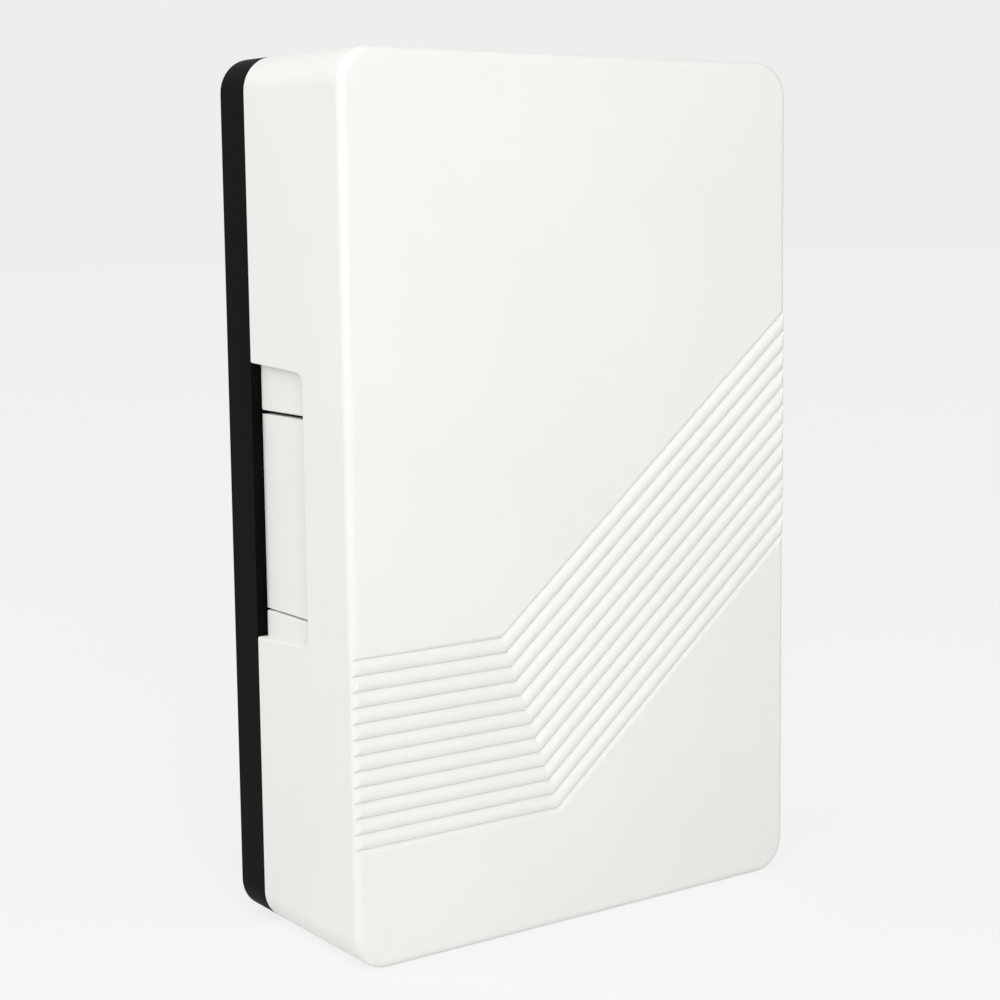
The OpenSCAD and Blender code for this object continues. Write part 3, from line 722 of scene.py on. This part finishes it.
# %% [markdown]
# The tone bars are ground flat before they are plated, so fine lines run along their length. Noise
# that is squeezed across the bar and stretched along it draws them. They are drawn coarser than the
# real ones, which wouldn't show.

# %% Ground and plated tone bars
tone_steel = mottled("ground_nickel_plated_steel", ("B4B2AA", "CCCAC3"), patch=14, shine=(0.22, 0.36),
                     grain=0.25, strength=0.25, stretch=(1, 1, 0.03), Metallic=1.0)
print("tone bars:", tone_steel.name)

# %% [markdown]
# The coil's yoke is bent from zinc-plated sheet. Zinc grows in flat crystals, each with a slightly
# different grey and shine, and a Voronoi texture has just such cells. Under them lies the fine
# roughness of rolled sheet.

# %% Zinc-plated sheet
crystal_size = 2.2
zinc_shine = (0.28, 0.46)
rolled_grain = 0.4
rolled_strength = 0.12
rolled_depth = 0.05 * MM

zinc_steel, tree, surface, place = finish("zinc_plated_sheet_steel", Metallic=1.0)
crystals = add(tree, "TexVoronoi", Vector=place, Scale=per_mm(crystal_size))
grey = add(tree, "RGBToBW", Color=crystals.outputs["Color"]).outputs[0]
tone = add(tree, "ValToRGB", Fac=grey)
for stop, colour in zip(tone.color_ramp.elements, ("A2A7AE", "C4C7CB")):
    stop.color = linear(colour)
tree.links.new(tone.outputs["Color"], surface.inputs["Base Color"])
sheen = add(tree, "MapRange", Value=grey, To_Min=zinc_shine[0], To_Max=zinc_shine[1])
tree.links.new(sheen.outputs["Result"], surface.inputs["Roughness"])
rolled = add(tree, "TexNoise", Vector=place, Scale=per_mm(rolled_grain), Detail=GRAIN_DETAIL)
relief = add(tree, "Bump", Height=rolled.outputs["Fac"], Strength=rolled_strength,
             Distance=rolled_depth)
tree.links.new(relief.outputs["Normal"], surface.inputs["Normal"])
print("yoke:", zinc_steel.name)

# %% [markdown]
# Nylon lets a little light in, which takes the edge off its shadows: a small subsurface share does
# that. The terminal block is a creamier polyamide. The grommets are rubber, dull and nearly black.

# %% Nylon, polyamide and rubber
nylon = mottled("moulded_nylon", ("E3DECF", "EDE9DD"), patch=5, shine=(0.38, 0.5), grain=0.3,
                strength=0.12, IOR=1.53, Subsurface_Weight=0.15, Subsurface_Scale=MM)
terminal_plastic = mottled("moulded_polyamide", ("D6D0BF", "E2DDCD"), patch=6, shine=(0.42, 0.54),
                           grain=0.3, strength=0.14, IOR=1.53)
rubber = mottled("moulded_rubber", ("151516", "212122"), patch=3, shine=(0.68, 0.85), grain=0.25,
                 strength=0.3, IOR=1.52)
print("plastics:", [m.name for m in (nylon, terminal_plastic, rubber)])

# %% [markdown]
# Winding wire is copper under clear amber enamel, so it has a metal's colour and a varnish's gloss: a
# coat over a metallic base. The tape over it is glossy yellow polyester with faint wrinkles round the
# coil. The leads are soft PVC, which shows an even colour with a satin sheen.

# %% Wire, tape and insulation
PVC = {"patch": 4, "shine": (0.34, 0.46), "grain": 0.3, "strength": 0.12, "IOR": 1.54}
copper = mottled("enamelled_copper_wire", ("94431F", "B8632F"), patch=1.5, shine=(0.24, 0.36),
                 grain=0.2, strength=0.1, Metallic=1.0, Coat_Weight=0.6)
tape = mottled("polyester_tape", ("CFA12B", "DDB545"), patch=6, shine=(0.16, 0.3), grain=1.2,
               strength=0.2, stretch=(1, 0.3, 0.3), IOR=1.6)
red_pvc = mottled("red_pvc_insulation", ("9C1D18", "B22A22"), **PVC)
blue_pvc = mottled("blue_pvc_insulation", ("1B3A86", "264B9F"), **PVC)
print("wire:", [m.name for m in (copper, tape, red_pvc, blue_pvc)])

# %% [markdown]
# Most of the mechanism is pressed, turned or moulded to the very form of its CAD solid, so each of
# these pieces is an eased copy. The width of the easing is that of the real edge: about 0.1 mm on
# burr-free sheet, up to 0.25 mm on a moulding or a tumbled bar.

# %% Mechanism with eased edges
MECHANISM = (
    ("yoke", "coil_yoke", 0.12, 2, "base", "zinc_steel", zinc_steel),
    ("bobbin", "coil_bobbin", 0.2, 2, "base", "nylon", nylon),
    ("plunger", "striker_core", 0.25, 2, "striker", "plated_steel", plated_steel),
    ("striker_pin", "nylon_striker_pin", 0.15, 2, "striker", "nylon", nylon),
    ("striker_cap", "nylon_striker_cap", 0.15, 2, "striker", "nylon", nylon),
    ("spring_clip", "core_clip", 0.1, 2, "striker", "dark_steel", dark_steel),
    ("tone_bar_low", "low_note_bar", 0.25, 3, "base", "tone_steel", tone_steel),
    ("tone_bar_high", "high_note_bar", 0.25, 3, "base", "tone_steel", tone_steel),
    ("terminal_block", "wire_terminal", 0.25, 2, "base", "terminal_plastic", terminal_plastic),
    ("terminal_clamps", "wire_clamps", 0.1, 2, "base", "brass", brass),
)
for node, name, ease, segments, body, slot_name, material in MECHANISM:
    piece = eased_copy(node, name, ease * MM, segments=segments)
    stand_in(piece, node, body, material)

# %% [markdown]
# Round parts are turned: an outline is drawn point by point with extruded vertices and spun round its
# axis. Pins lie across the box and screws stand out from the wall, so the spun piece is turned to
# face its way and moved to its place before both are put into the mesh.

# %% Helper for turned parts
FACING = {"right": 0, "front": -math.pi / 2}
TURN_STEPS = 48
SHARP = math.radians(40)


def turned(name, outline, place, facing="right", sweep=360, ease=0.1):
    """Spins an outline of (along, radius) points, in mm, round an axis through a place."""
    only(None)
    bpy.ops.mesh.primitive_plane_add(size=MM, location=(0, 0, 0))
    piece = added(name)
    pick_all("VERT")
    bpy.ops.mesh.merge(type="CENTER")
    spots = [Vector((along, 0, radius)) * MM for along, radius in outline]
    bpy.ops.transform.translate(value=spots[0])
    for last, spot in zip(spots, spots[1:]):
        bpy.ops.mesh.extrude_vertices_move(TRANSFORM_OT_translate={"value": spot - last})
    bpy.ops.mesh.select_all(action="SELECT")
    bpy.ops.mesh.spin(steps=TURN_STEPS, angle=math.radians(sweep), center=(0, 0, 0), axis=(1, 0, 0))
    bpy.ops.mesh.select_all(action="SELECT")
    bpy.ops.mesh.remove_doubles(threshold=NEAR)
    bpy.ops.mesh.fill_holes(sides=0)
    bpy.ops.mesh.normals_make_consistent(inside=False)
    bpy.ops.object.mode_set(mode="OBJECT")
    piece.rotation_euler.z = FACING[facing]
    piece.location = place
    bpy.ops.object.transform_apply(location=True, rotation=True)
    finish_with(piece, "BEVEL", width=ease * MM, segments=2, limit_method="ANGLE", angle_limit=SHARP)
    return piece


# %% [markdown]
# Each tone bar hangs on two pins at its nodal points, a little over a fifth of its length from each
# end, where it hardly moves. A rubber grommet in each hole keeps the pin from damping the note: a
# neck in the bar and a rounded flange on either side. One grommet and one pin are turned at the
# origin, and copies go to the four places, turned round for the bar on the left.

# %% Grommets and bar pins
grommet_outline = [(-2.05, 1.55), (-2.1, 2.4), (-2.1, 3.7), (-1.9, 4.2), (-1.5, 4.38), (-1.15, 4.2),
                   (-1.0, 3.8), (-1.0, 3.0), (1.0, 3.0), (1.0, 3.8), (1.15, 4.2), (1.5, 4.38),
                   (1.9, 4.2), (2.1, 3.7), (2.1, 2.4), (2.05, 1.55), (-2.05, 1.55)]
pin_outline = [(21.4, 0), (21.4, 1.2), (21.7, 1.5), (29.2, 1.5), (29.2, 2.9), (29.5, 3.0),
               (29.8, 2.8), (30.1, 2.1), (30.2, 1.2), (30.2, 0)]
bar_middle = 27
nodal_low = 25.39
nodal_high = 23.18

grommet = turned("grommet", grommet_outline, at(0, 0, 0), ease=0.08)
bar_pin = turned("bar_pin", pin_outline, at(0, 0, 0))
grommets = []
pins = []
for side, turn, nodal in ((-1, math.pi, nodal_low), (1, 0, nodal_high)):
    for up in (axis_up - nodal, axis_up + nodal):
        grommets.append(copied(grommet, at(side * bar_middle, up, axis_out), turn))
        pins.append(copied(bar_pin, at(0, up, axis_out), turn))
bpy.data.objects.remove(grommet)
bpy.data.objects.remove(bar_pin)
grommet_set = join("grommet_set", grommets)
smooth(grommet_set)
stand_in(grommet_set, "bar_grommets", "base", rubber)
pin_set = join("bar_pin_set", pins)
smooth(pin_set)
stand_in(pin_set, "bar_pins", "base", plated_steel)

# %% [markdown]
# A pan-head screw is a domed head on a shank, with its drive pressed in. The dome is part of the
# turned outline. The drive is cut by thin blocks: two for a cross, one for the plain slot of a
# terminal screw.

# %% Helper for screws


def screw(name, place, radius, height, shank, drive):
    """A screw that faces the front, its head's underside at a place, with (across, up, deep) slots."""
    shank_r = 0.4 * radius
    outline = [(-shank, 0), (-shank, shank_r), (0, shank_r), (0, radius), (0.4 * height, radius),
               (0.65 * height, 0.9 * radius), (0.88 * height, 0.62 * radius),
               (height, 0.25 * radius), (height, 0)]
    piece = turned(name, outline, place, "front", ease=0.08)
    top = place - Vector((0, height * MM, 0))
    for across, up, deep in drive:
        half = Vector((across, 2 * deep, up)) * MM / 2
        cut(piece, block("drive", top - half, top + half))
    smooth(piece)
    return piece


# %% [markdown]
# Two screws with a cross hold the yoke, two slotted ones the wires, and one more with a cross the
# terminal block. Of each pair one is made and one is its copy.

# %% Screws
cross = [(3.2, 0.7, 0.8), (0.7, 3.2, 0.8)]
slot = [(4, 0.6, 0.6)]

yoke_screw = screw("yoke_screw", at(5, 23.6, 4.8), radius=2.7, height=1.7, shank=3.8, drive=cross)
yoke_pair = join("yoke_screw_pair", [yoke_screw, copied(yoke_screw, at(0, -27.2, 0))])
stand_in(yoke_pair, "yoke_screws", "base", plated_steel)
clamp_screw = screw("clamp_screw", at(4, -34, 10.2), radius=1.9, height=1.3, shank=2.1, drive=slot)
clamp_pair = join("clamp_screw_pair", [clamp_screw, copied(clamp_screw, at(10, 0, 0))])
stand_in(clamp_pair, "terminal_screws", "base", plated_steel)
block_screw = screw("block_screw", at(9, -34, 12), radius=2.7, height=1.7, shank=11, drive=cross)
stand_in(block_screw, "terminal_fixing", "base", plated_steel)

# %% [markdown]
# Wire could be extruded step by step, but a curve with a round bevel follows any route smoothly and
# stays equally thick, so the springs, the winding and the leads are curves that are then made meshes.

# %% Helpers for wire
COIL_STEPS = 12
WIRE_SHARP = 50


def wire(name, route, radius, fineness):
    """A round wire along a route of points."""
    line = bpy.data.curves.new(name, "CURVE")
    line.dimensions = "3D"
    line.bevel_depth = radius * MM
    line.bevel_resolution = 2
    line.resolution_u = fineness
    line.use_fill_caps = True
    spline = line.splines.new("BEZIER")
    spline.bezier_points.add(len(route) - 1)
    for knot, spot in zip(spline.bezier_points, route):
        knot.co = spot
        knot.handle_left_type = "AUTO"
        knot.handle_right_type = "AUTO"
    piece = bpy.data.objects.new(name, line)
    bpy.context.collection.objects.link(piece)
    only(piece)
    bpy.ops.object.convert(target="MESH")
    piece = added(name)
    pick_all("VERT")
    bpy.ops.mesh.remove_doubles(threshold=NEAR)
    face_outwards()
    smooth(piece, WIRE_SHARP)
    return piece


def coiled(start, end, up, out, radius, thickness, turns, closed=1):
    """Route of a coil across the box, with closed turns at both ends."""
    first = start + thickness / 2
    span = end - start - thickness
    open_pitch = (span - 2 * closed * thickness) / (turns - 2 * closed)
    route = []
    for i in range(turns * COIL_STEPS + 1):
        turn = i / COIL_STEPS
        tight = min(turn, closed) + max(0, turn - turns + closed)
        along = first + tight * thickness + (turn - tight) * open_pitch
        angle = 2 * math.pi * turn
        route.append(at(along, up + radius * math.sin(angle), out + radius * math.cos(angle)))
    return route


# %% [markdown]
# A compression spring ends in a closed turn, so that it stands square on its seat. The return spring
# sits round the core, between the yoke and the clip.

# %% Return spring
clip_seat = -20.4
yoke_seat = -9.2
return_wire = 0.5
return_route = coiled(clip_seat, yoke_seat, axis_up, axis_out, radius=3.8, thickness=return_wire,
                      turns=7)
return_spring = wire("return_coil_spring", return_route, return_wire / 2, fineness=3)
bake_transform(return_spring)
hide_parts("return_spring")
dress(return_spring, spring_steel)
tell(return_spring)

# %% [markdown]
# One small spring stands behind each latch, between the cover's spring rib and the latch plate. The
# second is a copy of the first, moved straight across the box.

# %% Latch springs
latch_up = -1.55
latch_out = 16.625
rib_end = 31.3
plate_end = 35.7
latch_wire = 0.4
latch_route = coiled(-plate_end, -rib_end, latch_up, latch_out, radius=1.7, thickness=latch_wire,
                     turns=4)
left_spring = wire("latch_coil_spring_left", latch_route, latch_wire / 2, fineness=3)
right_spring = copied(left_spring, at(plate_end + rib_end, 0, 0))
right_spring.name = "latch_coil_spring_right"
right_spring.data.name = "latch_coil_spring_right"
for name, side, spring in (("left", -1, left_spring), ("right", 1, right_spring)):
    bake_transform(spring)
    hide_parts("latch_spring_" + name)
    dress(spring, spring_steel)
    tell(spring)

# %% [markdown]
# The winding is thousands of turns of hair-thin wire. Only its outer layer is ever seen, at the edges
# of the tape, so that layer is one wire wound side by side on a plain drum. It is drawn at half a
# millimetre, coarser than the real 0.2 mm, so that the turns show.

# %% Winding
coil_start = -6.5
coil_end = 16.5
former_r = 4.25
drum_r = 9.0
layer_r = 9.04
layer_turns = 45
turn_wire = 0.5


def ring(start, end, inside, outside):
    """Closed outline of a plain ring."""
    return [(start, inside), (start, outside), (end, outside), (end, inside), (start, inside)]


coil_place = at(0, axis_up, axis_out)
drum = turned("winding_drum", ring(coil_start, coil_end, former_r, drum_r), coil_place)
layer_route = coiled(coil_start, coil_end, axis_up, axis_out, radius=layer_r, thickness=turn_wire,
                     turns=layer_turns)
layer = wire("winding_layer", layer_route, turn_wire / 2, fineness=2)
winding = join("copper_winding", [drum, layer])
smooth(winding, WIRE_SHARP)
stand_in(winding, "winding", "base", copper)

# %% [markdown]
# The tape goes once round the winding and a little over its own start, where a second thickness makes
# a low step. It leaves a millimetre of the winding bare at each end.

# %% Tape
bare_end = 1
tape_start = coil_start + bare_end
tape_end = coil_end - bare_end
wrap_outline = ring(tape_start, tape_end, 9.2, 9.5)
lap_outline = ring(tape_start + 0.1, tape_end + 0.15, 9.4, 9.6)
lap_sweep = 65
tape_ease = 0.05
wrap = turned("wrap", wrap_outline, coil_place, ease=tape_ease)
lap = turned("lap", lap_outline, coil_place, sweep=lap_sweep, ease=tape_ease)
coil_wrap = join("coil_wrap", [wrap, lap])
smooth(coil_wrap)
stand_in(coil_wrap, "coil_tape", "base", tape)

# %% [markdown]
# Two insulated leads run from the coil to the terminals, in an easy curve with some slack. Each knot
# of the route gives a share of the way across from the coil to the clamp, a part of the sideways bow,
# and how far up and out it lies.

# %% Leads
lead_r = 0.6
lead_knots = ((0.0, 0.0, 1.6, 11.9), (0.0, 0.5, -4.4, 10.9), (0.5, 1.0, -13.2, 9.2),
              (1.0, 0.5, -22.0, 7.0), (1.0, 0.0, -25.0, 6.5), (1.0, 0.0, -28.0, 6.5))
LEADS = (("a", -2.5, 4, -2, "lead_red", red_pvc), ("b", 12.5, 14, 1, "lead_blue", blue_pvc))
for letter, coil_x, clamp_x, bow, slot_name, material in LEADS:
    route = [at(coil_x + share * (clamp_x - coil_x) + part * bow, up, out)
             for share, part, up, out in lead_knots]
    lead = wire("coil_wire_" + letter, route, lead_r, fineness=8)
    stand_in(lead, "coil_lead_" + letter, "base", material)

# %% [markdown]
# ## Studio
# The box is shown on a white ground that hardly shows itself: a pale floor with only a soft contact
# shadow. To the camera, to reflections and through clear pieces the floor and the world look white,
# while the light that falls on the object comes from the lamps and from a dimmer grey world.

# %% Helper for the white ground


def seen_directly(tree):
    """1 for the rays by which the camera or a reflection sees the ground, 0 for the others."""
    rays = add(tree, "LightPath").outputs
    seen = rays["Is Camera Ray"]
    for kind in ("Is Glossy Ray", "Is Transmission Ray"):
        seen = add(tree, "Math", {"operation": "MAXIMUM"}, _0=seen, _1=rays[kind]).outputs[0]
    return seen


# %% [markdown]
# The floor is matt white paper. Where it is seen directly, most of it glows by itself in a set white
# and the rest is lit paper, which keeps the shadow of the box.

# %% Floor
floor_w = 6
glow_share = 0.85

bpy.context.scene.view_settings.view_transform = "Standard"
only(None)
bpy.ops.mesh.primitive_plane_add(size=floor_w, location=(0, 0, -half_h))
floor = added("floor")
bpy.ops.object.mode_set(mode="EDIT")
bpy.ops.mesh.subdivide(number_cuts=3)
bpy.ops.object.mode_set(mode="OBJECT")
paper, tree, surface, place = finish("white_paper", Roughness=0.9)
surface.inputs["Base Color"].default_value = linear("F0F0F0")
share = add(tree, "Math", {"operation": "MULTIPLY"}, _0=seen_directly(tree), _1=glow_share)
white = add(tree, "Emission", Color=linear("F8F8F8"), Strength=1.0)
mixed = add(tree, "MixShader", _0=share.outputs[0], _1=surface.outputs[0], _2=white.outputs[0])
tree.links.new(mixed.outputs[0], tree.nodes["Material Output"].inputs["Surface"])
dress(floor, paper)
print("floor at", round(-half_h / MM, 2), "mm")

# %% [markdown]
# The world has two strengths: full where it is seen directly, so that it meets the floor without a
# line, and about half where it lights the object, as the walls of a studio do.

# %% World
wall_light = 0.47

world = bpy.data.worlds.new("studio")
bpy.context.scene.world = world
world.use_nodes = True
tree = world.node_tree
tree.nodes.clear()
dim = add(tree, "Background", Color=linear("FFFFFF"), Strength=wall_light)
bright = add(tree, "Background", Color=linear("EEEEEE"), Strength=1.0)
mixed = add(tree, "MixShader", _0=seen_directly(tree), _1=dim.outputs[0], _2=bright.outputs[0])
add(tree, "OutputWorld", Surface=mixed.outputs[0])
print("world lights the object at", wall_light)

# %% [markdown]
# Three soft lamps light the box. The key lamp stands up and to the left in front, so that the front
# is bright and fades a little to the right. The side lamp stands far to the left, high and behind the
# box, and lights the left side without touching the face. A weak lamp above and in front slants down
# over the face and brings out the upper flanks of the ribs.

# %% Lamps
LAMPS = (
    ("key_lamp", (-0.22, -0.44, 0.25), 0.2, 1.31),
    ("side_lamp", (-0.8, 0.4, 0.45), 0.3, 2.3),
    ("top_lamp", (-0.12, -0.22, 0.55), 0.3, 0.45),
)
box_middle = Vector((0, face_y / 2, 0))
for name, location, size, watts in LAMPS:
    light = bpy.data.lights.new(name, "AREA")
    light.size = size
    light.energy = watts
    unit = bpy.data.objects.new(name, light)
    unit.location = location
    unit.rotation_euler = (box_middle - unit.location).to_track_quat("-Z", "Y").to_euler()
    bpy.context.collection.objects.link(unit)
    print(name, "of", watts, "W")

# %% [markdown]
# The camera stands where the photograph was taken, which was found by matching the box's edges. The
# picture is a crop, so its middle is not the lens's middle, and the shift puts the frame where the
# crop was.

# %% Camera
camera = bpy.data.objects.new("camera", bpy.data.cameras.new("camera"))
camera.data.sensor_width = 36
camera.data.lens = 74.981
camera.data.shift_x = -0.10015
camera.data.shift_y = -0.03502
yaw, pitch, roll = (math.radians(a) for a in (36.8709, 7.1549, -0.3501))
stand = Matrix.Translation((-0.175663, -0.271973, 0.041769))
tilt = Matrix.Rotation(math.pi / 2 - pitch, 4, "X") @ Matrix.Rotation(roll, 4, "Z")
camera.matrix_world = stand @ Matrix.Rotation(-yaw, 4, "Z") @ tilt
bpy.context.collection.objects.link(camera)
bpy.context.scene.camera = camera
print("camera lens", camera.data.lens, "mm")
